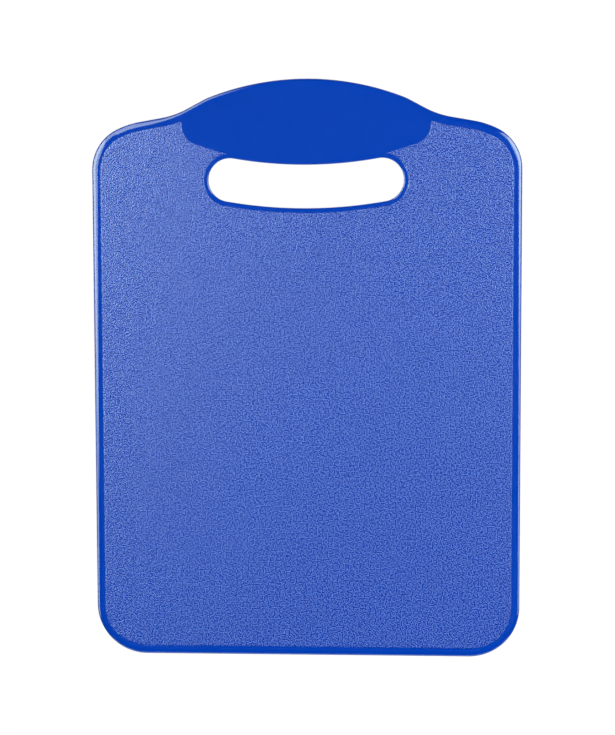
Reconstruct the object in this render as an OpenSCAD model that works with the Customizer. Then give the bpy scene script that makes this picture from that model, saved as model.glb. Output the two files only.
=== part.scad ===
// Flexible cutting mat with a hand slot, moulded in two steps: a grained panel, and a gloss
// rim with a grip pad that is moulded round the panel's keyed edge.
// The mat lies flat. X runs across it, +Y points to the grip and Z is up, with the origin
// under the middle of the overall outline. Distances along the mat are taken from its foot.

/* [Mat outline] */
// Overall width
mat_w = 245; // [235:1:280]
// Overall length, from the foot to the top of the grip
mat_l = 332; // [315:1:380]
// Radius of the two foot corners
foot_r = 29; // [12:1:45]
// Radius of the two shoulder corners
shoulder_r = 25.5; // [15:0.5:32]
// Radius of the soft bend between a shoulder corner and the straight shoulder
ease_r = 50; // [40:1:70]
// Angle that the soft bend turns through
ease_turn = 16; // [8:1:20]
// Fall of the straight shoulder towards the side, in degrees
shoulder_fall = 10; // [5:1:14]

/* [Grip outline] */
// Radius of the hollow between the shoulder and the grip
hollow_r = 50; // [35:1:60]
// Fall of the grip's straight flank, in degrees
flank_fall = 28; // [25:1:34]
// Length of the straight flank
flank_l = 10; // [4:0.5:14]
// Radius of the bend between the flank and the crown
crest_r = 36; // [20:1:60]
// Fall of the outline where the crown ends, in degrees
crown_fall = 21; // [16:0.5:23]
// Radius of the long crown over the grip
crown_r = 153; // [130:1:165]

/* [Hand slot] */
// Overall width of the slot
slot_w = 111.4; // [95:0.1:125]
// Opening of the slot between its two long walls
slot_h = 24.6; // [20:0.1:28]
// Radius that the slot's middle line bends to
slot_bend_r = 250; // [200:1:350]
// Distance from the top of the grip down to the lowest point of the slot's middle line
slot_drop = 60.9; // [58:0.1:77]
// Width of the smooth lip round the slot
lip_w = 2.6; // [1.9:0.1:3.5]

/* [Grip pad] */
// Width of the pad between its two straight ends
pad_w = 142; // [130:1:150]
// Radius of the pad's long lower edge
pad_r = 185; // [165:1:220]
// Radius of the pad's two lower corners
pad_corner_r = 12; // [6:0.5:14]
// Height of the pad's lower edge over the slot's upper wall, at the middle
pad_rise = 0.9; // [0.2:0.1:1.5]

/* [Rim section] */
// Width of the smooth border between the outline and the grained field
rim_w = 4.9; // [4:0.1:7]
// Thickness of the rim and the pad
rim_t = 3.5; // [3.2:0.1:5]
// Width over which the outer edge is rounded, seen from above
edge_w = 3.6; // [1.8:0.1:4.2]
// Height of the flat line left round the middle of the outer edge
edge_land = 0.3; // [0.1:0.1:1]
// Width over which the slot's edges are rounded
slot_edge_w = 0.9; // [0.4:0.1:1]
// Height over which the slot's edges are rounded
slot_edge_h = 0.8; // [0.4:0.1:0.9]

/* [Panel section] */
// Thickness of the grained field, which lies below the rim on both faces
field_t = 3.1; // [2.4:0.1:3.4]
// Thickness of the tongue and web that the rim is moulded over
tongue_t = 1.3; // [0.8:0.1:1.6]
// Reach of the tongue into the rim
tongue_w = 2.5; // [1.8:0.1:2.7]
// Thickness of the key along the tongue's end
key_t = 2.1; // [1.7:0.1:2.3]
// Width of the key
key_w = 0.8; // [0.5:0.1:1.2]
// Reach of the tongue into the slot's lip
lip_tongue_w = 1.1; // [0.6:0.1:1.2]

/* [Tie holes] */
// Number of holes in the web under the pad
tie_n = 9; // [3:2:9]
// Diameter of a hole
tie_d = 8; // [4:0.5:9]
// Distance between two holes along their row
tie_pitch = 13; // [10:0.5:13.5]
// Distance from the slot's upper wall to the middle of the row
tie_rise = 23.5; // [20:0.5:25]

/* [Hidden] */
panel_blue = "#5476c4";
gloss_blue = "#0343b6";

// Fineness: the turn of an arc between two points, for tight arcs and for wide ones, the
// steps in one bow of a rounded edge and round a hole, and how near two points count as one.
arc_step = 5;
wide_arc_step = 2;
bow_steps = 5;
hole_steps = 48;
same_point = 0.001;

// Unit vectors: square to a slope that falls at an angle, down that slope, and at an angle.
function rise_dir(fall) = [sin(fall), cos(fall)];
function slope_dir(fall) = [cos(fall), -sin(fall)];
function angle_dir(a) = [cos(a), sin(a)];

// Half outline from the crown down to the shoulder: centres of its arcs, each tangent to
// the next stretch.
crown_c = [0, mat_l - crown_r];
crest_c = crown_c + (crown_r - crest_r) * rise_dir(crown_fall);
flank_end = crest_c + crest_r * rise_dir(flank_fall) + flank_l * slope_dir(flank_fall);
hollow_c = flank_end + hollow_r * rise_dir(flank_fall);
hollow_end = hollow_c - hollow_r * rise_dir(shoulder_fall);

// The straight shoulder takes up the width that is left.
corner_fall = shoulder_fall + ease_turn;
ease_step = (ease_r - shoulder_r) * rise_dir(corner_fall) - ease_r * rise_dir(shoulder_fall);
corner_x = mat_w / 2 - shoulder_r;
shoulder_l = (corner_x - hollow_end.x - ease_step.x) / cos(shoulder_fall);
ease_c = hollow_end + shoulder_l * slope_dir(shoulder_fall) - ease_r * rise_dir(shoulder_fall);
corner_c = ease_c + (ease_r - shoulder_r) * rise_dir(corner_fall);
foot_c = [mat_w / 2 - foot_r, foot_r];

// Hand slot: centre of its bend, half the angle it spans and the centre of its right end.
slot_y = mat_l - slot_drop;
slot_c = [0, slot_y + slot_bend_r];
slot_turn = asin((slot_w - slot_h) / 2 / slot_bend_r);
slot_end = slot_c + slot_bend_r * angle_dir(slot_turn - 90);
slot_top_r = slot_bend_r - slot_h / 2;
slot_low_r = slot_bend_r + slot_h / 2;

// Grip pad: centre of its long lower edge and of its right lower corner.
pad_c = [0, slot_y + slot_h / 2 + pad_rise + pad_r];
pad_corner_x = pad_w / 2 - pad_corner_r;
pad_turn = asin(pad_corner_x / (pad_r - pad_corner_r));
pad_corner_c = pad_c + (pad_r - pad_corner_r) * angle_dir(pad_turn - 90);

// The key's outer wall lies at the tongue's end.
tongue_in = rim_w - tongue_w;

// Points along an arc, both ends included, with one at its middle.
function arc(c, r, from, to, step = arc_step) =
    let (n = 2 * ceil(abs(to - from) / step / 2))
    [for (i = [0:n]) c + r * angle_dir(from + (to - from) * i / n)];

// The points mirrored to the left side, in reverse, so that a loop runs on through them.
function mirrored(points) = [for (i = [len(points) - 1:-1:0]) [-points[i].x, points[i].y]];

// A closed loop without the points that two arcs share.
function loop(points) =
    let (n = len(points))
    [for (i = [0:n - 1]) if (norm(points[i] - points[(i + 1) % n]) > same_point) points[i]];

// The mat's outline, set in by a distance. Straight stretches join the arcs.
function outline(inset) =
    let (side = concat(
        arc(foot_c, foot_r - inset, -90, 0),
        arc(corner_c, shoulder_r - inset, 0, 90 - corner_fall),
        arc(ease_c, ease_r - inset, 90 - corner_fall, 90 - shoulder_fall),
        arc(hollow_c, hollow_r + inset, -90 - shoulder_fall, -90 - flank_fall),
        arc(crest_c, crest_r - inset, 90 - flank_fall, 90 - crown_fall)
    ))
    loop(concat(
        side,
        arc(crown_c, crown_r - inset, 90 - crown_fall, 90 + crown_fall, wide_arc_step),
        mirrored(side)
    ));

// The hand slot's outline, grown by a distance.
function slot(grow) =
    let (
        low = arc(slot_c, slot_low_r + grow, -90 - slot_turn, -90 + slot_turn, wide_arc_step),
        end = arc(slot_end, slot_h / 2 + grow, -90 + slot_turn, 90 + slot_turn),
        top = arc(slot_c, slot_top_r - grow, -90 + slot_turn, -90 - slot_turn, wide_arc_step)
    )
    loop(concat(low, end, top, mirrored(end)));

// The pad's outline. It runs out past the top of the mat, where the outline cuts it.
function pad() =
    let (side = concat(
        arc(pad_corner_c, pad_corner_r, -90 + pad_turn, 0),
        [[pad_w / 2, mat_l]]
    ))
    loop(concat(
        arc(pad_c, pad_r, -90 - pad_turn, -90 + pad_turn, wide_arc_step),
        side,
        mirrored(side)
    ));

// The grained field: all that the border, the pad and the slot's lip leave.
module field() {
    difference() {
        polygon(outline(rim_w));
        polygon(pad());
        polygon(slot(lip_w));
    }
}

// Row of round holes in the web, along a line that follows the slot.
module tie_holes() {
    row_r = slot_top_r - tie_rise;
    step = tie_pitch / row_r * 180 / PI;
    half = (tie_n - 1) / 2;
    for (i = [-half:half])
        translate(slot_c + row_r * angle_dir(i * step - 90)) circle(d = tie_d, $fn = hole_steps);
}

// A flat layer of a given thickness, half above and half below the mat's middle plane.
module layer(t) {
    translate([0, 0, (rim_t - t) / 2]) linear_extrude(t) children();
}

// The tongue round the field with the web under the pad, and the key along their edge.
module keyed_tongue() {
    layer(tongue_t) difference() {
        polygon(outline(tongue_in));
        polygon(slot(lip_w - lip_tongue_w));
        tie_holes();
    }
    layer(key_t) difference() {
        polygon(outline(tongue_in));
        polygon(outline(tongue_in + key_w));
    }
}

// Rows of a rounded edge as [setback, height], from the upper face round to the lower one.
// A quarter of an ellipse at each face starts flush with it and ends upright.
function edge_rows(w, h) =
    let (upper = [for (i = [0:bow_steps]) let (a = 90 * i / bow_steps)
        [w * (1 - sin(a)), rim_t - h * (1 - cos(a))]])
    concat(upper, [for (i = [bow_steps:-1:0]) [upper[i][0], rim_t - upper[i][1]]]);

// Closed band through loops of equally many points, each loop joined to the next and the
// last one to the first.
module band(loops) {
    n = len(loops[0]);
    m = len(loops);
    polyhedron(
        points = [for (row = loops) each row],
        faces = [for (j = [0:m - 1], i = [0:n - 1])
            let (k = (j + 1) % m, next = (i + 1) % n)
            [j * n + i, j * n + next, k * n + next, k * n + i]]
    );
}

function at_height(points, z) = [for (p = points) [p.x, p.y, z]];

// The rounded outer edge of the mat.
module outer_edge() {
    rows = edge_rows(edge_w, (rim_t - edge_land) / 2);
    band([for (row = rows) at_height(outline(row[0]), row[1])]);
}

// The rounded edges of the slot. Its rows run upwards, because it opens inwards.
module slot_edge() {
    rows = edge_rows(slot_edge_w, slot_edge_h);
    band([for (i = [len(rows) - 1:-1:0]) at_height(slot(rows[i][0]), rows[i][1])]);
}

// The panel: the grained field and, thinner, the keyed tongue and the web with its holes.
module cutting_panel() {
    color(panel_blue) translate([0, -mat_l / 2, 0]) {
        layer(field_t) field();
        keyed_tongue();
    }
}

// The rim, the grip pad and the slot's lip in one moulding, closed round the keyed tongue.
module rim_and_grip() {
    color(gloss_blue) translate([0, -mat_l / 2, 0]) difference() {
        union() {
            layer(rim_t) difference() {
                polygon(outline(edge_w));
                field();
                polygon(slot(slot_edge_w));
            }
            outer_edge();
            slot_edge();
        }
        keyed_tongue();
    }
}

cutting_panel();
rim_and_grip();
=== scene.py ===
"""Studio scene of a flexible cutting mat with a hand slot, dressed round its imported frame."""

import logging
import math
from dataclasses import dataclass, field
from enum import Enum

import bpy
import numpy as np
from mathutils import Matrix, Vector
from mathutils.geometry import delaunay_2d_cdt
from mathutils.kdtree import KDTree


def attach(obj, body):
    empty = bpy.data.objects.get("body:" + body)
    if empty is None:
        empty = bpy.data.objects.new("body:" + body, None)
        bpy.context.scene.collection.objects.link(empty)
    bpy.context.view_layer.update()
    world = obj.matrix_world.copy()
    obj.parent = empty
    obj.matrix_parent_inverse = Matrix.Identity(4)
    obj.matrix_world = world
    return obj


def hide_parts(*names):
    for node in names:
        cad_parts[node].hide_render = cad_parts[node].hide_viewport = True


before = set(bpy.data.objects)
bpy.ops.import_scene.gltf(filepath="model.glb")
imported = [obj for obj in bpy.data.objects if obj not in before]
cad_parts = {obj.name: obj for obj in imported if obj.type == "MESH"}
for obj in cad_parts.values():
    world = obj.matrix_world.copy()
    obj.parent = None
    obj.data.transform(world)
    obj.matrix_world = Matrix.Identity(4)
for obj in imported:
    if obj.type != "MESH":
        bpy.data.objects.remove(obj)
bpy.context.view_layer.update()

MM = 0.001
LOG = logging.getLogger("cutting_mat")

Points = np.ndarray
Rgb = tuple[float, float, float]
Place = tuple[float, float, float]


class Face(Enum):
    """The two faces of the mat, by the sign of their normal."""

    TOP = 1
    UNDER = -1


class Ray(Enum):
    """What the Light Path node tells apart, by the names of its outputs."""

    CAMERA = "Is Camera Ray"
    GLOSSY = "Is Glossy Ray"
    TRANSMISSION = "Is Transmission Ray"


# Plan curves, in millimetres. A curve's rows hold x, y and the outward normal.

ARC_TURN = 1.5
STRAIGHT_STEP = 3.0
SAME_POINT = 1e-3


def arc(centre: Points, r: float, start: float, end: float, hollow: bool = False) -> Points:
    """Points and normals along an arc.

    Args:
        centre: Centre of the arc.
        r: Radius.
        start: Angle of the first point, in degrees.
        end: Angle of the last point, in degrees.
        hollow: True where the normal points to the centre.

    Returns:
        Rows of x, y and the normal, both ends included.
    """
    length = math.radians(abs(end - start)) * r
    steps = max(2, math.ceil(abs(end - start) / ARC_TURN), math.ceil(length / STRAIGHT_STEP))
    turn = np.radians(np.linspace(start, end, steps + 1))
    ray = np.column_stack([np.cos(turn), np.sin(turn)])
    return np.hstack([np.asarray(centre) + r * ray, -ray if hollow else ray])


def mirrored(rows: Points) -> Points:
    """The stretch on the left side, in reverse, so that a loop runs on through it."""
    return rows[::-1] * (-1.0, 1.0, -1.0, 1.0)


def closed(*stretches: Points) -> Points:
    """A closed curve of several stretches, joined by straight runs.

    Args:
        stretches: The stretches, in order.

    Returns:
        Rows without double points, with the straight runs divided.
    """
    rows = np.vstack(stretches)
    made = []
    for a, b in zip(rows, np.roll(rows, -1, axis=0)):
        length = float(np.hypot(*(b - a)[:2]))
        if length < SAME_POINT:
            continue
        steps = max(1, math.ceil(length / STRAIGHT_STEP - SAME_POINT))
        made.append(a + (b - a) * (np.arange(steps) / steps)[:, None])
    return np.vstack(made)


def shifted(rows: Points, distance: float | Points) -> Points:
    """The curve's points moved outwards by a distance, or by one distance each."""
    return rows[:, :2] + rows[:, 2:] * np.reshape(distance, (-1, 1))


def eased(values: Points) -> Points:
    """Values clipped to 0 and 1, with a soft start and end."""
    clipped = np.clip(values, 0, 1)
    return clipped * clipped * (3 - 2 * clipped)


def rise(fall: float) -> Points:
    """Unit vector square to a slope that falls at an angle, in degrees."""
    return np.array([math.sin(math.radians(fall)), math.cos(math.radians(fall))])


def slope(fall: float) -> Points:
    """Unit vector down a slope that falls at an angle, in degrees."""
    return np.array([math.cos(math.radians(fall)), -math.sin(math.radians(fall))])


@dataclass(frozen=True)
class MatPlan:
    """The mat seen from above, in millimetres from its middle: outline, hand slot and pad."""

    width: float = 245.0
    length: float = 332.0
    foot_r: float = 29.0
    shoulder_r: float = 25.5
    ease_r: float = 50.0
    ease_turn: float = 16.0
    shoulder_fall: float = 10.0
    hollow_r: float = 50.0
    flank_fall: float = 28.0
    flank_l: float = 10.0
    crest_r: float = 36.0
    crown_fall: float = 21.0
    crown_r: float = 153.0
    slot_w: float = 111.4
    slot_h: float = 24.6
    slot_bend_r: float = 250.0
    slot_drop: float = 60.9
    pad_w: float = 142.0
    pad_r: float = 185.0
    pad_corner_r: float = 12.0
    pad_rise: float = 0.9
    rim_w: float = 4.9
    lip_w: float = 2.6

    def outline(self) -> Points:
        """The mat's outline, anticlockwise.

        Returns:
            Rows of x, y and the outward normal.
        """
        top, fall = self.length / 2, self.shoulder_fall + self.ease_turn
        crown = np.array([0.0, top - self.crown_r])
        crest = crown + (self.crown_r - self.crest_r) * rise(self.crown_fall)
        flank_end = crest + self.crest_r * rise(self.flank_fall)
        flank_end = flank_end + self.flank_l * slope(self.flank_fall)
        hollow = flank_end + self.hollow_r * rise(self.flank_fall)
        hollow_end = hollow - self.hollow_r * rise(self.shoulder_fall)
        ease_step = (self.ease_r - self.shoulder_r) * rise(fall)
        ease_step = ease_step - self.ease_r * rise(self.shoulder_fall)
        run = self.width / 2 - self.shoulder_r - hollow_end[0] - ease_step[0]
        run /= math.cos(math.radians(self.shoulder_fall))
        ease = hollow_end + run * slope(self.shoulder_fall)
        ease = ease - self.ease_r * rise(self.shoulder_fall)
        corner = ease + (self.ease_r - self.shoulder_r) * rise(fall)
        foot = np.array([self.width / 2 - self.foot_r, self.foot_r - top])
        right = np.vstack(
            [
                arc(foot, self.foot_r, -90, 0),
                arc(corner, self.shoulder_r, 0, 90 - fall),
                arc(ease, self.ease_r, 90 - fall, 90 - self.shoulder_fall),
                arc(hollow, self.hollow_r, -90 - self.shoulder_fall, -90 - self.flank_fall, True),
                arc(crest, self.crest_r, 90 - self.flank_fall, 90 - self.crown_fall),
            ]
        )
        over = arc(crown, self.crown_r, 90 - self.crown_fall, 90 + self.crown_fall)
        return closed(right, over, mirrored(right))

    def slot_middle(self) -> Points:
        """Centre of the slot's bend."""
        return np.array([0.0, self.length / 2 - self.slot_drop + self.slot_bend_r])

    def slot(self) -> Points:
        """The hand slot's outline, anticlockwise.

        Returns:
            Rows of x, y and the normal that points out of the opening.
        """
        bend, half = self.slot_middle(), self.slot_h / 2
        turn = math.degrees(math.asin((self.slot_w / 2 - half) / self.slot_bend_r))
        end_c = bend - self.slot_bend_r * rise(-turn)
        low = arc(bend, self.slot_bend_r + half, -90 - turn, -90 + turn)
        end = arc(end_c, half, -90 + turn, 90 + turn)
        top = arc(bend, self.slot_bend_r - half, -90 + turn, -90 - turn, True)
        return closed(low, end, top, mirrored(end))

    def pad(self) -> Points:
        """The pad's outline, which runs out past the top of the mat.

        Returns:
            Rows of x, y and the outward normal.
        """
        low_y = self.length / 2 - self.slot_drop + self.slot_h / 2 + self.pad_rise
        middle = np.array([0.0, low_y + self.pad_r])
        reach = self.pad_r - self.pad_corner_r
        turn = math.degrees(math.asin((self.pad_w / 2 - self.pad_corner_r) / reach))
        corner = arc(middle - reach * rise(-turn), self.pad_corner_r, -90 + turn, 0)
        end = np.array([[self.pad_w / 2, self.length, 1.0, 0.0]])
        low = arc(middle, self.pad_r, -90 - turn, -90 + turn)
        right = np.vstack([corner, end])
        return closed(low, right, mirrored(right))


# Flat regions and the meshes made from them.

MERGE_REACH = 1e-6
TIP_STEPS = 6
TIP_GUARD = 1.15
LEAST_COSINE = 0.5
PEEL_BAND = 0.42


def inside(loop: Points, points: Points) -> Points:
    """Which points lie inside a loop.

    Args:
        loop: Corners of the loop.
        points: Points to test.

    Returns:
        One truth value per point.
    """
    a, b = loop, np.roll(loop, -1, axis=0)
    found = np.zeros(len(points), bool)
    for (ax, ay), (bx, by) in zip(a, b):
        if ay == by:
            continue
        rows = (points[:, 1] < ay) != (points[:, 1] < by)
        cross = ax + (points[rows, 1] - ay) * (bx - ax) / (by - ay)
        found[rows] ^= points[rows, 0] < cross
    return found


def triangulated(loops: list[Points]) -> tuple[Points, Points, Points]:
    """Delaunay triangles that keep the sides of several loops.

    Args:
        loops: The loops. They may cross.

    Returns:
        The corners, the triangles and, for each corner, the number of the input point that it
        stands for, or -1 where two sides cross.
    """
    points = np.vstack(loops)
    edges, first = [], 0
    for loop in loops:
        ring = np.arange(len(loop)) + first
        edges += list(zip(ring.tolist(), np.roll(ring, -1).tolist()))
        first += len(loop)
    flat = [Vector(p) for p in points.tolist()]
    found, _, faces, origins, _, _ = delaunay_2d_cdt(flat, edges, [], 0, MERGE_REACH)
    corners, faces = np.array([c[:] for c in found]), np.array(faces)
    origin = np.array([o[0] if o else -1 for o in origins])
    a, b = (corners[faces[:, k]] - corners[faces[:, 0]] for k in (1, 2))
    double_area = a[:, 0] * b[:, 1] - a[:, 1] * b[:, 0]
    return corners, faces[double_area > SAME_POINT**2], origin


def chained(edges: Points) -> Points:
    """The longest closed chain of directed edges.

    Args:
        edges: Pairs of corner numbers.

    Returns:
        The corner numbers in order.
    """
    ahead = dict(edges.tolist())
    best: list[int] = []
    while ahead:
        start, here = next(iter(ahead.items()))
        chain = [start]
        del ahead[start]
        while here != start:
            chain.append(here)
            here = ahead.pop(here)
        best = chain if len(chain) > len(best) else best
    return np.array(best)


def rim_edges(faces: Points) -> Points:
    """The directed edges that only one face has.

    Args:
        faces: Corner numbers, one row per face.

    Returns:
        Pairs of corner numbers.
    """
    sides = np.vstack([np.column_stack([faces[:, k], faces[:, (k + 1) % faces.shape[1]]])
                       for k in range(faces.shape[1])])
    known = {tuple(s) for s in sides.tolist()}
    return np.array([s for s in sides.tolist() if (s[1], s[0]) not in known])


def softened(loop: Points, reach: float, sharp: float = 25.0) -> Points:
    """A loop whose sharp corners are rounded.

    Args:
        loop: Corners of the loop.
        reach: Distance from a corner at which its rounding starts.
        sharp: Least turn of a corner that is rounded, in degrees.

    Returns:
        The new loop.
    """
    ahead = np.roll(loop, -1, axis=0) - loop
    turn = np.degrees(np.arctan2(ahead[:, 1], ahead[:, 0]))
    turn = (turn - np.roll(turn, 1) + 180) % 360 - 180
    corners = np.nonzero(np.abs(turn) > sharp)[0]
    near = np.min(
        [np.hypot(*(loop - loop[c]).T) for c in corners] + [np.full(len(loop), np.inf)], axis=0
    )
    made = []
    for i, point in enumerate(loop):
        if i in corners:
            back = point - loop[i - 1]
            on = loop[(i + 1) % len(loop)] - point
            a = point - back / np.hypot(*back) * reach
            b = point + on / np.hypot(*on) * reach
            for t in np.linspace(0, 1, TIP_STEPS + 1):
                made.append((1 - t) ** 2 * a + 2 * t * (1 - t) * point + t * t * b)
        elif near[i] > reach * TIP_GUARD:
            made.append(point)
    return np.array(made)


def with_normals(loop: Points) -> Points:
    """Adds the outward normals to an anticlockwise loop.

    Args:
        loop: Corners of the loop.

    Returns:
        Rows of x, y and the normal, which is longer at a corner, so that moved sides keep their
        distance.
    """
    ahead = np.roll(loop, -1, axis=0) - loop
    side = np.column_stack([ahead[:, 1], -ahead[:, 0]])
    side /= np.linalg.norm(side, axis=1)[:, None]
    both = side + np.roll(side, 1, axis=0)
    both /= np.linalg.norm(both, axis=1)[:, None]
    cosine = np.clip((both * side).sum(axis=1), LEAST_COSINE, 1.0)
    return np.hstack([loop, both / cosine[:, None]])


def field_loop(plan: MatPlan, tip: float) -> Points:
    """The edge of the grained field: inside the border, outside the pad and the slot's lip.

    Args:
        plan: Sizes of the mat.
        tip: Reach of the rounding at the field's tips.

    Returns:
        Rows of x, y and the outward normal, anticlockwise.
    """
    border = shifted(plan.outline(), -plan.rim_w)
    pad = plan.pad()[:, :2]
    lip = shifted(plan.slot(), plan.lip_w)
    corners, faces, _ = triangulated([border, pad, lip])
    middles = corners[faces].mean(axis=1)
    kept = inside(border, middles) & ~inside(pad, middles) & ~inside(lip, middles)
    loop = corners[chained(rim_edges(faces[kept]))]
    return with_normals(softened(loop, tip))


def orange_peel(shape: tuple[int, int], pitch: float, size: float, seed: int) -> Points:
    """A random relief of soft bumps.

    Args:
        shape: Rows and columns of the lattice.
        pitch: Distance between lattice points.
        size: Typical distance from bump to bump.
        seed: Seed of the random draw.

    Returns:
        Heights with a mean of 0 and a spread of 1.
    """
    white = np.random.default_rng(seed).standard_normal(shape)
    wave = np.hypot(*np.meshgrid(np.fft.fftfreq(shape[1], pitch), np.fft.fftfreq(shape[0], pitch)))
    bell = np.exp(-(((wave * size - 1.0) / PEEL_BAND) ** 2))
    relief = np.fft.ifft2(np.fft.fft2(white) * bell).real
    return relief / relief.std()


def in_scene(name: str, data: bpy.types.ID) -> bpy.types.Object:
    """Makes an object and links it to the scene.

    Args:
        name: Name of the object.
        data: Its mesh, light or camera.

    Returns:
        The object.
    """
    made = bpy.data.objects.new(name, data)
    bpy.context.scene.collection.objects.link(made)
    return made


@dataclass
class MeshDraft:
    """Corners and faces gathered piece by piece, in millimetres."""

    corners: list[Points] = field(default_factory=list)
    faces: list[list[int]] = field(default_factory=list)
    count: int = 0

    def add(self, corners: Points) -> int:
        """Adds corners.

        Args:
            corners: Rows of x, y and z.

        Returns:
            The number of the first one.
        """
        first = self.count
        self.corners.append(corners)
        self.count += len(corners)
        return first

    def add_loop(self, loop: Points, z: float) -> Points:
        """Adds a loop at one height.

        Args:
            loop: Rows of x and y.
            z: Height.

        Returns:
            The numbers of its corners.
        """
        rows = np.column_stack([loop, np.full(len(loop), z)])
        return self.add(rows) + np.arange(len(loop))

    def band(self, low: Points, high: Points) -> None:
        """Joins two rings of corners by quads.

        Args:
            low: Corner numbers of the first ring.
            high: Corner numbers of the second ring.
        """
        quads = np.column_stack([low, np.roll(low, -1), np.roll(high, -1), high])
        self.faces += quads.tolist()

    def cover(self, flat: Points, face: Face) -> None:
        """Adds faces that lie anticlockwise from above, turned over on the under face."""
        self.faces += (flat if face is Face.TOP else flat[:, ::-1]).tolist()

    def build(self, name: str) -> bpy.types.Object:
        """Makes the object.

        Args:
            name: Name of the piece.

        Returns:
            A smooth-shaded mesh object in metres.
        """
        mesh = bpy.data.meshes.new(name)
        mesh.from_pydata((np.vstack(self.corners) * MM).tolist(), [], self.faces)
        mesh.validate()
        mesh.update()
        mesh.shade_smooth()
        LOG.info("%s: %d corners, %d faces", name, len(mesh.vertices), len(mesh.polygons))
        return in_scene(name, mesh)


# Materials: node trees, the effects that both finishes share, and the finish.

# The sockets of a colour Mix node: share, first colour and second colour, and the result.
MIX_INPUTS = (0, 6, 7)
MIX_OUTPUT = 2

CLOUD_CONTRAST = 2.5
SPECK_REACH = 0.016
SPECK_COLOUR: Rgb = (0.75, 0.75, 0.78)


def opaque(colour: Rgb) -> tuple[float, float, float, float]:
    """A colour with full alpha."""
    return (*colour, 1.0)


class NodeSheet:
    """A node tree with short calls for adding nodes and joining them."""

    def __init__(self, tree: bpy.types.NodeTree) -> None:
        """Keeps the tree that the calls write to."""
        self.tree = tree

    def add(self, kind: str, **settings: object) -> bpy.types.Node:
        """Adds a node.

        Args:
            kind: Type of the node.
            settings: Its properties, and the values of its inputs, with underscores for spaces.

        Returns:
            The node.
        """
        node = self.tree.nodes.new(kind)
        for key, value in settings.items():
            if hasattr(node, key):
                setattr(node, key, value)
            else:
                node.inputs[key.replace("_", " ")].default_value = value
        return node

    def join(self, source: bpy.types.NodeSocket, target: bpy.types.NodeSocket) -> None:
        """Links an output to an input."""
        self.tree.links.new(source, target)

    def feed(self, target: bpy.types.NodeSocket, value: object) -> None:
        """Gives an input its value.

        Args:
            target: The input.
            value: A number or colour to set, or an output to link.
        """
        if isinstance(value, bpy.types.NodeSocket):
            self.join(value, target)
        else:
            target.default_value = value

    def texture(self, kind: str, scale: bpy.types.NodeSocket, **settings: object
                ) -> bpy.types.Node:
        """Adds a texture in the piece's own space.

        Args:
            kind: Type of the node.
            scale: Features per metre.
            settings: As for add.

        Returns:
            The node.
        """
        node = self.add(kind, **settings)
        self.join(self.add("ShaderNodeTexCoord").outputs["Object"], node.inputs["Vector"])
        self.join(scale, node.inputs["Scale"])
        return node

    def math(self, operation: str, a: object, b: object = None, c: object = None,
             clamp: bool = False) -> bpy.types.NodeSocket:
        """Adds a Math node.

        Args:
            operation: What it works out.
            a: First value or socket.
            b: Second value or socket.
            c: Third value or socket.
            clamp: Whether the result is kept between 0 and 1.

        Returns:
            Its result.
        """
        node = self.tree.nodes.new("ShaderNodeMath")
        node.operation, node.use_clamp = operation, clamp
        for socket, value in zip(node.inputs, (a, b, c)):
            if value is not None:
                self.feed(socket, value)
        return node.outputs[0]

    def contrast(self, value: bpy.types.NodeSocket, gain: float) -> bpy.types.NodeSocket:
        """Spreads a value round 0.5 by a gain and keeps it between 0 and 1."""
        return self.math("MULTIPLY_ADD", value, gain, 0.5 - gain / 2, clamp=True)

    def mix(self, share: object, a: object, b: object) -> bpy.types.NodeSocket:
        """Adds a colour Mix node.

        Args:
            share: Share of the second colour.
            a: First colour or socket.
            b: Second colour or socket.

        Returns:
            The mixed colour.
        """
        node = self.add("ShaderNodeMix", data_type="RGBA")
        for index, value in zip(MIX_INPUTS, (share, a, b)):
            self.feed(node.inputs[index], value)
        return node.outputs[MIX_OUTPUT]


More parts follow.
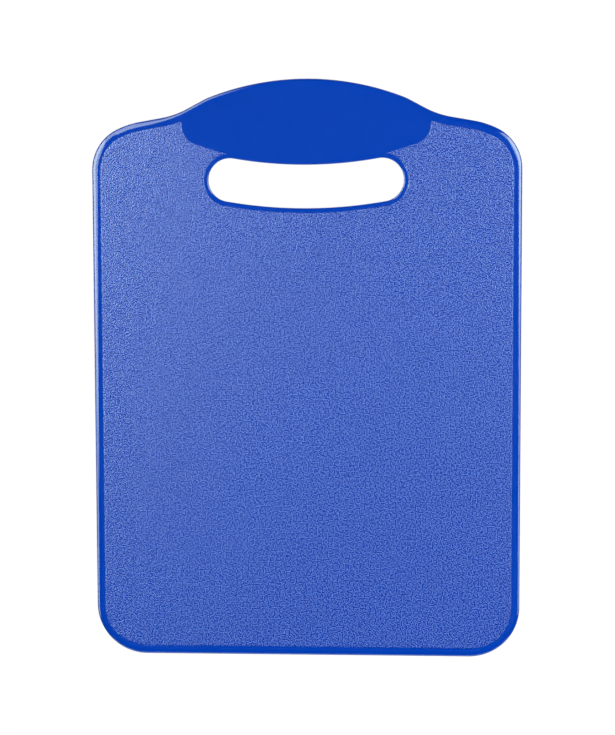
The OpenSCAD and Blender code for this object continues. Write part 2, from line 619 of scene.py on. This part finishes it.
class GroupKit:
    """Makes the shared node groups once and hands them out."""

    def __init__(self) -> None:
        """Builds the groups."""
        self.grain = self._grain()
        self.mottle = self._mottle()
        self.dust = self._dust()

    @staticmethod
    def _start(name: str, inputs: dict[str, object], outputs: dict[str, str]
               ) -> tuple[NodeSheet, bpy.types.Node, bpy.types.Node]:
        """Starts a group.

        Args:
            name: Name of the group.
            inputs: Input names with their first values: a number or a colour.
            outputs: Output names with their socket types.

        Returns:
            The sheet, the group's input node and its output node.
        """
        tree = bpy.data.node_groups.new(name, "ShaderNodeTree")
        for key, value in inputs.items():
            kind = "NodeSocketFloat" if isinstance(value, float) else "NodeSocketColor"
            socket = tree.interface.new_socket(name=key, in_out="INPUT", socket_type=kind)
            socket.default_value = value
        for key, kind in outputs.items():
            tree.interface.new_socket(name=key, in_out="OUTPUT", socket_type=kind)
        sheet = NodeSheet(tree)
        return sheet, sheet.add("NodeGroupInput"), sheet.add("NodeGroupOutput")

    def _grain(self) -> bpy.types.NodeTree:
        """Pebbled relief of moulded plastic, as seen on a flat face.

        Returns:
            The group.
        """
        sheet, given, out = self._start(
            "moulded_grain", {"Bumps per metre": 1300.0}, {"Height": "NodeSocketFloat"}
        )
        bumps = sheet.texture("ShaderNodeTexNoise", given.outputs["Bumps per metre"],
                              noise_dimensions="2D", Detail=0.0)
        sheet.join(bumps.outputs[0], out.inputs["Height"])
        return sheet.tree

    def _mottle(self) -> bpy.types.NodeTree:
        """Slow drift of a pigment between two shades.

        Returns:
            The group.
        """
        blue = opaque((0.0, 0.05, 0.45))
        sheet, given, out = self._start(
            "pigment_mottle", {"Base": blue, "Drift": blue, "Clouds per metre": 30.0},
            {"Colour": "NodeSocketColor"},
        )
        cloud = sheet.texture("ShaderNodeTexNoise", given.outputs["Clouds per metre"],
                              Detail=3.0, Roughness=0.55)
        share = sheet.contrast(cloud.outputs[0], CLOUD_CONTRAST)
        mixed = sheet.mix(share, given.outputs["Base"], given.outputs["Drift"])
        sheet.join(mixed, out.inputs["Colour"])
        return sheet.tree

    def _dust(self) -> bpy.types.NodeTree:
        """Sparse specks of dust.

        Returns:
            The group.
        """
        sheet, given, out = self._start(
            "dust_specks", {"Dust": 0.5, "Specks per metre": 25.0}, {"Specks": "NodeSocketFloat"}
        )
        cells = sheet.texture("ShaderNodeTexVoronoi", given.outputs["Specks per metre"],
                              feature="F1")
        near = sheet.math("LESS_THAN", cells.outputs["Distance"], SPECK_REACH)
        sheet.join(sheet.math("MULTIPLY", near, given.outputs["Dust"]), out.inputs["Specks"])
        return sheet.tree


def blank_material(name: str) -> tuple[bpy.types.Material, NodeSheet]:
    """A material with an empty node tree.

    Args:
        name: Name of the material.

    Returns:
        The material and the sheet of its tree.
    """
    material = bpy.data.materials.new(name)
    material.use_nodes = True
    material.node_tree.nodes.clear()
    return material, NodeSheet(material.node_tree)


@dataclass(frozen=True)
class PlasticFinish:
    """Moulded plastic: pigment, gloss, grain and dust, with a colour that follows the grain's
    height: on the grained panel this is painted shade in the pits and a painted highlight on the
    peaks.
    """

    name: str
    base: Rgb
    drift: Rgb
    # Pit and peak colours: on the grained panel, painted shade in the grain's pits and a painted
    # highlight on its peaks; on the gloss rim, a slow random tone.
    pit_shade_and_tone: Rgb
    peak_highlight_and_tone: Rgb
    tone_gain: float
    tone_share: float
    roughness: float
    rough_spread: float
    specular: float
    bumps_per_metre: float
    bump_height: float
    dust: float
    ior: float = 1.57

    def material(self, kit: GroupKit) -> bpy.types.Material:
        """Builds the material.

        Args:
            kit: The shared node groups.

        Returns:
            The material.
        """
        made, sheet = blank_material(self.name)
        out = sheet.add("ShaderNodeOutputMaterial")
        skin = sheet.add("ShaderNodeBsdfPrincipled", IOR=self.ior, Specular_IOR_Level=self.specular)
        sheet.join(skin.outputs[0], out.inputs["Surface"])
        grain = sheet.add("ShaderNodeGroup", node_tree=kit.grain,
                          Bumps_per_metre=self.bumps_per_metre)
        mottle = sheet.add("ShaderNodeGroup", node_tree=kit.mottle, Base=opaque(self.base),
                           Drift=opaque(self.drift))
        dust = sheet.add("ShaderNodeGroup", node_tree=kit.dust, Dust=self.dust)
        # The grain's height mixes the pit colour into the hollows and the peak colour onto the
        # bumps. On the grained panel this is painted shade and painted highlight; on the gloss rim
        # it is a slow random tone.
        peaks = sheet.contrast(grain.outputs["Height"], self.tone_gain)
        grain_shading_and_tone = sheet.mix(peaks, opaque(self.pit_shade_and_tone), opaque(self.peak_highlight_and_tone))
        colour = sheet.mix(self.tone_share, mottle.outputs["Colour"], grain_shading_and_tone)
        colour = sheet.mix(dust.outputs["Specks"], colour, opaque(SPECK_COLOUR))
        sheet.join(colour, skin.inputs["Base Color"])
        rough = sheet.math("MULTIPLY_ADD", peaks, self.rough_spread,
                           self.roughness - self.rough_spread / 2, clamp=True)
        sheet.join(rough, skin.inputs["Roughness"])
        bump = sheet.add("ShaderNodeBump", Strength=1.0, Distance=self.bump_height)
        sheet.join(grain.outputs["Height"], bump.inputs["Height"])
        sheet.join(bump.outputs[0], skin.inputs["Normal"])
        return made


# The mat's two pieces.


def seat(piece: bpy.types.Object, material: bpy.types.Material, node: str) -> None:
    """Dresses a piece and puts it in a CAD node's place on the frame's body.

    Args:
        piece: The piece.
        material: Its material.
        node: The CAD node that it stands for.
    """
    piece.data.materials.append(material)
    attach(piece, "root")
    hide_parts(node)
    LOG.info("%s stands for %s", piece.name, node)


@dataclass(frozen=True)
class FieldNet:
    """One face of the panel: the lattice points in use, and faces that join them and the edge.

    The faces number the edge's corners first and the lattice points in use after them.
    """

    shape: tuple[int, int]
    used: Points
    places: Points
    away: Points
    quads: Points
    strip: Points


@dataclass
class GrainedPanel:
    """The cutting panel: a sheet with an orange-peel relief on both faces."""

    edge: Points
    finish: PlasticFinish
    middle_z: float = 1.75
    thickness: float = 3.1
    pitch: float = 0.65
    edge_gap: float = 0.7
    edge_parts: int = 10
    peel_size: float = 1.7
    peel_spread: float = 0.02
    fade: float = 0.9
    first_seed: int = 5

    def _lattice(self) -> tuple[Points, Points]:
        """Columns and rows of the lattice over the field.

        Returns:
            The x and the y places of the lattice lines.
        """
        low, high = self.edge[:, :2].min(axis=0), self.edge[:, :2].max(axis=0)
        return tuple(np.arange(a, b + self.pitch, self.pitch) for a, b in zip(low, high))

    def _distance(self, points: Points) -> Points:
        """Distance of points from the edge of the field.

        Args:
            points: Rows of x and y.

        Returns:
            One distance per point.
        """
        loop = self.edge[:, :2]
        ahead = np.roll(loop, -1, axis=0)
        shares = np.arange(self.edge_parts) / self.edge_parts
        dense = np.vstack([loop + (ahead - loop) * t for t in shares])
        tree = KDTree(len(dense))
        for i, (x, y) in enumerate(dense.tolist()):
            tree.insert((x, y, 0.0), i)
        tree.balance()
        return np.array([tree.find((x, y, 0.0))[2] for x, y in points.tolist()])

    def _net(self) -> FieldNet:
        """Lays lattice faces in the middle and joins them to the edge by triangles.

        Returns:
            The net of one face.
        """
        loop = self.edge[:, :2]
        xs, ys = self._lattice()
        nx, ny = len(xs), len(ys)
        grid = np.column_stack([np.tile(xs, ny), np.repeat(ys, nx)])
        within = inside(loop, grid)
        away = np.zeros(len(grid))
        away[within] = self._distance(grid[within])
        clear = (within & (away > self.edge_gap * self.pitch)).reshape(ny, nx)
        cells = clear[:-1, :-1] & clear[1:, :-1] & clear[:-1, 1:] & clear[1:, 1:]
        row, column = np.nonzero(cells)
        corner = row * nx + column
        quads = np.column_stack([corner, corner + 1, corner + nx + 1, corner + nx])
        stairs = chained(rim_edges(quads))

        corners, faces, origin = triangulated([loop, grid[stairs]])
        middles = corners[faces].mean(axis=1)
        column, row = np.floor((middles - (xs[0], ys[0])) / self.pitch).astype(int).T
        fits = (column >= 0) & (row >= 0) & (column < nx - 1) & (row < ny - 1)
        held = np.zeros(len(middles), bool)
        held[fits] = cells[row[fits], column[fits]]
        strip = origin[faces[inside(loop, middles) & ~held]]

        used = np.unique(quads)
        number = np.full(len(grid), -1)
        number[used] = len(loop) + np.arange(len(used))
        table = np.concatenate([np.arange(len(loop)), number[stairs]])
        return FieldNet((ny, nx), used, grid[used], away[used], number[quads], table[strip])

    def build(self, kit: GroupKit) -> None:
        """Builds the panel, dresses it and seats it.

        Args:
            kit: The shared node groups.
        """
        loop, net = self.edge[:, :2], self._net()
        ease = eased(net.away / self.fade)
        draft, rings = MeshDraft(), []
        for seed, face in enumerate(Face, start=self.first_seed):
            relief = orange_peel(net.shape, self.pitch, self.peel_size, seed).ravel()[net.used]
            z = self.middle_z + face.value * self.thickness / 2
            rings.append(draft.add_loop(loop, z))
            heights = z + face.value * self.peel_spread * relief * ease
            draft.add(np.column_stack([net.places, heights]))
            for flat in (net.quads, net.strip):
                draft.cover(flat + rings[-1][0], face)
        top, under = rings
        draft.band(under, top)
        piece = draft.build("grained_panel_sheet")
        seat(piece, self.finish.material(kit), "cutting_panel")


@dataclass
class GlossRim:
    """The rim moulding: border with its rounded edge, grip pad and lip round the slot."""

    plan: MatPlan
    edge: Points
    finish: PlasticFinish
    thickness: float = 3.5
    edge_w: float = 3.6
    crown_edge_w: float = 1.6
    crown_ease: tuple[float, float] = (68.0, 97.0)
    edge_land: float = 0.3
    slot_edge_w: float = 0.9
    slot_edge_h: float = 0.8
    step_r: float = 0.25
    bow_steps: int = 12
    guard: float = 0.15

    def _bow(self, w: float, h: float) -> list[tuple[float, float]]:
        """Rows of a rounded edge, from a guard line on the upper face to the lower one.

        Args:
            w: Width of the rounding seen from above.
            h: Height of the rounding.

        Returns:
            Pairs of setback and height.
        """
        turns = [math.pi / 2 * i / self.bow_steps for i in range(self.bow_steps + 1)]
        upper = [(w + self.guard, self.thickness)]
        upper += [(w * (1 - math.sin(a)), self.thickness - h * (1 - math.cos(a))) for a in turns]
        return upper + [(s, self.thickness - z) for s, z in reversed(upper)]

    def _edge_share(self, rows: Points) -> Points:
        """How much of the border's rounding each point of the outline has.

        Args:
            rows: The outline.

        Returns:
            1 round the border, easing to less over the crown, where the pad's edge is tighter.
        """
        start, end = self.crown_ease
        least = self.crown_edge_w / self.edge_w
        out = eased((np.abs(rows[:, 0]) - start) / (end - start))
        return np.where(rows[:, 1] > 0, least + (1 - least) * out, 1.0)

    def _sweep(self, draft: MeshDraft, rows: Points, bow: list[tuple[float, float]],
               sign: float, share: float | Points = 1.0) -> tuple[Points, Points]:
        """Sweeps an edge's section along a curve.

        Args:
            draft: The mesh to add to.
            rows: The curve.
            bow: Pairs of setback and height.
            sign: Direction of the setback against the curve's normal.
            share: Share of the setback, in all or at each point.

        Returns:
            The first and the last ring.
        """
        rings = [draft.add_loop(shifted(rows, sign * s * share), z) for s, z in bow]
        for low, high in zip(rings, rings[1:]):
            if sign < 0:
                draft.band(high, low)
            else:
                draft.band(low, high)
        return rings[0], rings[-1]

    def build(self, kit: GroupKit) -> None:
        """Builds the moulding from three swept edges and flat faces, dresses it and seats it.

        Args:
            kit: The shared node groups.
        """
        draft = MeshDraft()
        outline = self.plan.outline()
        border = self._bow(self.edge_w, (self.thickness - self.edge_land) / 2)
        lip = self._bow(self.slot_edge_w, self.slot_edge_h)
        step = self._bow(self.step_r, self.step_r)
        swept = (
            self._sweep(draft, outline, border, -1, self._edge_share(outline)),
            self._sweep(draft, self.plan.slot(), lip, 1),
            self._sweep(draft, self.edge, step, 1),
        )
        points = np.vstack(draft.corners)
        for face, rings in zip(Face, zip(*swept)):
            outer, *holes = (points[ring, :2] for ring in rings)
            corners, faces, origin = triangulated([outer, *holes])
            middles = corners[faces].mean(axis=1)
            kept = inside(outer, middles)
            for hole in holes:
                kept &= ~inside(hole, middles)
            draft.cover(np.concatenate(rings)[origin[faces[kept]]], face)
        piece = draft.build("rim_moulding")
        seat(piece, self.finish.material(kit), "rim_and_grip")


@dataclass
class CuttingMat:
    """The whole mat: the grained panel in its gloss rim."""

    plan: MatPlan
    panel_finish: PlasticFinish
    rim_finish: PlasticFinish
    tip: float = 1.8

    def build(self, kit: GroupKit) -> None:
        """Builds both pieces round one shared edge.

        Args:
            kit: The shared node groups.
        """
        edge = field_loop(self.plan, self.tip)
        GrainedPanel(edge, self.panel_finish).build(kit)
        GlossRim(self.plan, edge, self.rim_finish).build(kit)


# The studio.


class Role(Enum):
    """What a softbox does, by whether matt colour and reflections get its light."""

    MATT = (True, False)
    MIRRORED = (False, True)


@dataclass(frozen=True)
class Softbox:
    """A rectangular softbox that faces a point near the mat."""

    name: str
    place: Place
    aim: Place
    width: float
    height: float
    glow: float
    role: Role
    colour: Rgb = (1.0, 1.0, 1.0)

    def build(self) -> None:
        """Builds the light."""
        light = bpy.data.lights.new(self.name, "AREA")
        light.shape = "RECTANGLE"
        light.size, light.size_y = self.width, self.height
        light.energy = self.glow * math.pi * self.width * self.height
        light.color = self.colour
        lamp = in_scene(self.name, light)
        lamp.location = self.place
        aim = Vector(self.aim) - Vector(self.place)
        lamp.rotation_euler = aim.to_track_quat("-Z", "Y").to_euler()
        lamp.visible_camera = False
        lamp.visible_diffuse, lamp.visible_glossy = self.role.value
        LOG.info("softbox %s", self.name)


@dataclass(frozen=True)
class PaleFloor:
    """A wide pale floor that keeps the mat's shadow and shows white to the camera."""

    size: float = 8.0
    clearance: float = 0.00005
    paint: float = 0.3
    lift: float = 0.77

    def build(self) -> None:
        """Builds the floor."""
        half, z = self.size / 2, -self.clearance
        mesh = bpy.data.meshes.new("studio_floor")
        mesh.from_pydata([(-half, -half, z), (half, -half, z), (half, half, z), (-half, half, z)],
                         [], [(0, 1, 2, 3)])
        mesh.materials.append(self._material())
        in_scene("studio_floor", mesh)
        LOG.info("studio floor")

    def _material(self) -> bpy.types.Material:
        """Matt paint, with a lift towards white that the camera, gloss and glass see.

        Returns:
            The material.
        """
        made, sheet = blank_material("pale_floor")
        out = sheet.add("ShaderNodeOutputMaterial")
        paint = sheet.add("ShaderNodeBsdfDiffuse", Color=opaque((self.paint,) * 3))
        glow = sheet.add("ShaderNodeEmission")
        path = sheet.add("ShaderNodeLightPath")
        seen = path.outputs[Ray.CAMERA.value]
        for ray in (Ray.GLOSSY, Ray.TRANSMISSION):
            seen = sheet.math("MAXIMUM", seen, path.outputs[ray.value])
        sheet.join(sheet.math("MULTIPLY", seen, self.lift), glow.inputs["Strength"])
        both = sheet.add("ShaderNodeAddShader")
        sheet.join(paint.outputs[0], both.inputs[0])
        sheet.join(glow.outputs[0], both.inputs[1])
        sheet.join(both.outputs[0], out.inputs["Surface"])
        return made


@dataclass(frozen=True)
class StudioCamera:
    """The camera above the mat, from the picture's perspective."""

    place: Place = (0.06785, 0.10715, 1.14256)
    turns: Place = (0.0922, -0.05869, -0.00248)
    focal_px: float = 2000.0
    picture_px: tuple[int, int] = (615, 735)
    sensor: float = 36.0
    clip: tuple[float, float] = (0.05, 20.0)

    def build(self) -> None:
        """Builds the camera and makes it the scene's."""
        lens = bpy.data.cameras.new("studio_camera")
        lens.sensor_width = self.sensor
        lens.lens = self.focal_px * self.sensor / max(self.picture_px)
        lens.clip_start, lens.clip_end = self.clip
        turn = Matrix.Identity(3)
        for angle, axis in zip(self.turns, "XYZ"):
            turn = Matrix.Rotation(angle, 3, axis) @ turn
        camera = in_scene("studio_camera", lens)
        camera.matrix_world = Matrix.Translation(self.place) @ turn.transposed().to_4x4()
        bpy.context.scene.camera = camera
        LOG.info("camera")


@dataclass
class Studio:
    """Floor, softboxes, surroundings and camera."""

    boxes: tuple[Softbox, ...]
    floor: PaleFloor = PaleFloor()
    camera: StudioCamera = StudioCamera()
    surround: float = 0.02
    fill: float = 0.1

    def build(self) -> None:
        """Builds the studio."""
        self.floor.build()
        for box in self.boxes:
            box.build()
        self._surroundings()
        self.camera.build()
        bpy.context.scene.view_settings.view_transform = "Standard"

    def _surroundings(self) -> None:
        """A dim room that shows white to the camera and through glass."""
        world = bpy.data.worlds.new("studio_room")
        world.use_nodes = True
        world.node_tree.nodes.clear()
        sheet = NodeSheet(world.node_tree)
        out = sheet.add("ShaderNodeOutputWorld")
        glow = sheet.add("ShaderNodeBackground")
        path = sheet.add("ShaderNodeLightPath")
        lit = sheet.math("MULTIPLY_ADD", path.outputs[Ray.GLOSSY.value],
                         self.surround - self.fill, self.fill)
        seen = sheet.math("MAXIMUM", path.outputs[Ray.CAMERA.value],
                          path.outputs[Ray.TRANSMISSION.value])
        strength = sheet.math("MAXIMUM", seen, lit)
        sheet.join(strength, glow.inputs["Strength"])
        sheet.join(glow.outputs[0], out.inputs["Surface"])
        bpy.context.scene.world = world


def main() -> None:
    """Builds the studio and the mat."""
    logging.basicConfig(level=logging.INFO, format="%(name)s: %(message)s")
    # The panel's pit and peak colours paint shade into the grain's pits and a highlight onto its
    # peaks. The rim's pit and peak colours give it a slow random tone.
    panel = PlasticFinish(
        name="grained_plastic", base=(0.006, 0.068, 0.48), drift=(0.008, 0.072, 0.495),
        pit_shade_and_tone=(0.0, 0.029, 0.375), peak_highlight_and_tone=(0.026, 0.118, 0.588), tone_gain=6.0, tone_share=0.95,
        roughness=0.28, rough_spread=0.3, specular=0.56, bumps_per_metre=1400.0,
        bump_height=0.00022, dust=0.0,
    )
    rim = PlasticFinish(
        name="gloss_plastic", base=(0.0, 0.053, 0.49), drift=(0.0, 0.056, 0.505),
        pit_shade_and_tone=(0.0, 0.05, 0.47), peak_highlight_and_tone=(0.0, 0.06, 0.52), tone_gain=2.0, tone_share=0.2,
        roughness=0.07, rough_spread=0.02, specular=0.5, bumps_per_metre=120.0,
        bump_height=0.0, dust=0.6,
    )
    tint = (0.85, 1.0, 0.82)
    reflections = (
        ("left_wall", (-0.778, 0.052, 0.501), (0.003, -0.504, 0.111), 1.7, 0.54, 5.6),
        ("left_head", (-0.735, 0.145, 0.669), (-0.2, -0.5, 0.0), 0.65, 0.83, 5.5),
        ("left_back", (-0.31, 0.45, 0.868), (-0.1, 0.126, 0.0), 0.19, 0.26, 5.5),
        ("right_head", (0.878, 0.33, 0.656), (0.319, -0.539, -0.041), 0.77, 1.07, 5.5),
        ("right_wall", (0.81, -0.019, 0.463), (0.15, -0.543, 0.111), 1.36, 0.46, 5.8),
        ("front_strip", (0.0, -1.15, 0.2), (0.0, -0.15, 0.1), 2.2, 0.4, 3.0),
    )
    boxes = (
        Softbox("overhead", (0.22, 0.02, 1.5), (0.0, 0.03, 0.0), 1.5, 1.5, 3.95, Role.MATT),
        *(Softbox(*given, Role.MIRRORED, tint) for given in reflections),
    )
    Studio(boxes).build()
    CuttingMat(MatPlan(), panel, rim).build(GroupKit())


if __name__ == "__main__":
    main()
